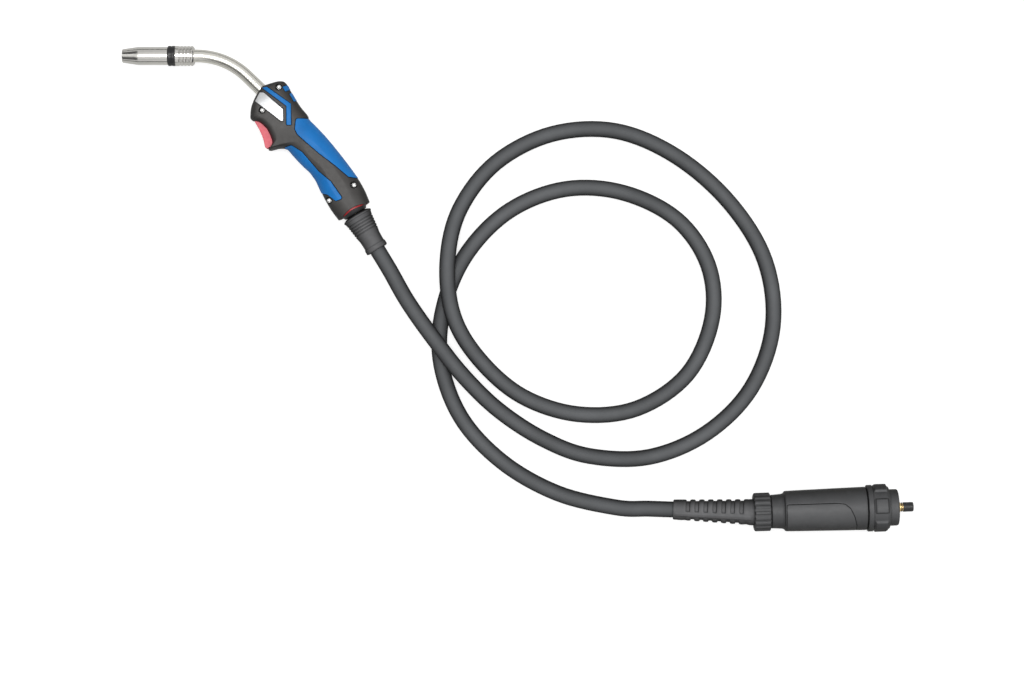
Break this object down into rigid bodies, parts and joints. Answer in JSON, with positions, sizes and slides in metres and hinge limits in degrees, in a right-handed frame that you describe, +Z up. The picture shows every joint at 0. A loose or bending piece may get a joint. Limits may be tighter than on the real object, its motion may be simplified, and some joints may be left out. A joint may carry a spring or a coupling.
{
  "type": "mig welding torch",
  "caption": "Hand-held MIG/MAG welding torch with swan neck, trigger handle on a swivel, looped coaxial cable and central machine connector.",
  "frame": {"origin": "on the supporting surface, at the centre of the flat on the handle's lower side", "axes": "+Z up out of the surface that the torch lies on; -X is the way the wire leaves the contact tip"},
  "size_m": [0.8286, 0.5097, 0.0509],
  "materials": {
    "nickel": "bright nickel plating",
    "steel": "polished tube",
    "copper": "drawn copper",
    "brass": "turned",
    "spring_steel": "spring steel",
    "shell_plastic": "fine-textured glass-filled nylon",
    "blue_grip": "soft-touch overmould",
    "trigger_plastic": "satin",
    "label_silver": "bare satin silver plate",
    "black_plastic": "moulded",
    "pale_plastic": "acetal",
    "ceramic": "fired ceramic",
    "silicone": "insulating sleeve",
    "red_seal": "elastomer",
    "cable_rubber": "matt extruded jacket",
    "boot_rubber": "matt moulded"
  },
  "bodies": {
    "cable_set": {"power_cable": "cable_rubber", "cable_boot": "boot_rubber", "boot_core": "brass", "connector_relief": "boot_rubber", "relief_nut": "black_plastic", "connector_housing": "black_plastic", "housing_cover": "black_plastic", "plug_conduit": "brass", "plug_body": "black_plastic", "nut_clip": "spring_steel", "power_pin": "brass", "pin_o_ring": "boot_rubber", "liner_nut": "black_plastic", "contact_bush_a": "pale_plastic", "contact_bush_b": "pale_plastic", "contact_spring_a": "spring_steel", "contact_spring_b": "spring_steel"},
    "ball": {"swivel_ball": "black_plastic"},
    "ring": {"slip_ring": "pale_plastic"},
    "handle": {"contact_tip": "copper", "tip_holder": "brass", "gas_diffuser": "ceramic", "nozzle_insulator": "black_plastic", "nozzle_spring": "spring_steel", "neck_collar": "nickel", "neck_outer_tube": "steel", "neck_insulation": "silicone", "neck_inner_tube": "copper", "neck_liner": "spring_steel", "neck_clamp_block": "brass", "clamp_screws": "spring_steel", "inner_lead": "silicone", "handle_shell_top": "shell_plastic", "handle_shell_bottom": "shell_plastic", "grip_back_top": "blue_grip", "grip_back_bottom": "blue_grip", "grip_front_top": "blue_grip", "grip_front_bottom": "blue_grip", "accent_stripe_top": "blue_grip", "accent_stripe_bottom": "blue_grip", "label_plate_top": "label_silver", "label_plate_bottom": "label_silver", "handle_screws": "spring_steel", "trigger_pin": "steel", "microswitch": "black_plastic", "switch_leads": "silicone", "ball_socket": "black_plastic", "swivel_seal": "red_seal"},
    "trigger": {"trigger": "trigger_plastic", "trigger_spring": "spring_steel"},
    "plunger": {"switch_plunger": "trigger_plastic"},
    "nozzle": {"gas_nozzle": "nickel"},
    "nut": {"union_nut": "black_plastic", "thread_insert": "brass"},
    "pin_a": {"contact_pin_a": "brass"},
    "pin_b": {"contact_pin_b": "brass"}
  },
  "joints": [
    {"name": "handle_twist", "type": "hinge", "parent": "cable_set", "child": "ball", "pos_m": [0.0319, -0.0465, 0.019], "axis": [0.515, -0.8572, 0], "range_deg": [-45, 45]},
    {"name": "handle_pitch", "type": "hinge", "parent": "ball", "child": "ring", "pos_m": [0.0319, -0.0465, 0.019], "axis": [0.8572, 0.515, 0], "range_deg": [-12, 12]},
    {"name": "handle_swing", "type": "hinge", "parent": "ring", "child": "handle", "pos_m": [0.0319, -0.0465, 0.019], "axis": [0, 0, 1], "range_deg": [-12, 12]},
    {"name": "trigger_pull", "type": "hinge", "parent": "handle", "child": "trigger", "pos_m": [-0.06456, 0.04513, 0.019], "axis": [0, 0, 1], "range_deg": [0, 6], "stiffness_Nm_per_rad": 1.5, "springref_deg": -5.73},
    {"name": "plunger_press", "type": "slide", "parent": "handle", "child": "plunger", "axis": [0.8192, 0.5736, 0], "range_m": [0, 0.0019]},
    {"name": "nozzle_pull", "type": "slide", "parent": "handle", "child": "nozzle", "axis": [-1, 0, 0], "range_m": [0, 0.06]},
    {"name": "nut_spin", "type": "hinge", "parent": "cable_set", "child": "nut", "pos_m": [0.4533, -0.3672, 0.0255], "axis": [0.9994, 0.0349, 0], "continuous": true},
    {"name": "contact_a_press", "type": "slide", "parent": "cable_set", "child": "pin_a", "axis": [-0.9994, -0.0349, 0], "range_m": [0, 0.0035], "stiffness_N_per_m": 800, "springref_m": -0.002},
    {"name": "contact_b_press", "type": "slide", "parent": "cable_set", "child": "pin_b", "axis": [-0.9994, -0.0349, 0], "range_m": [0, 0.0035], "stiffness_N_per_m": 800, "springref_m": -0.002}
  ],
  "couplings": [
    {"joint": "plunger_press", "follows": "trigger_pull", "m_per_rad": 0.017}
  ]
}
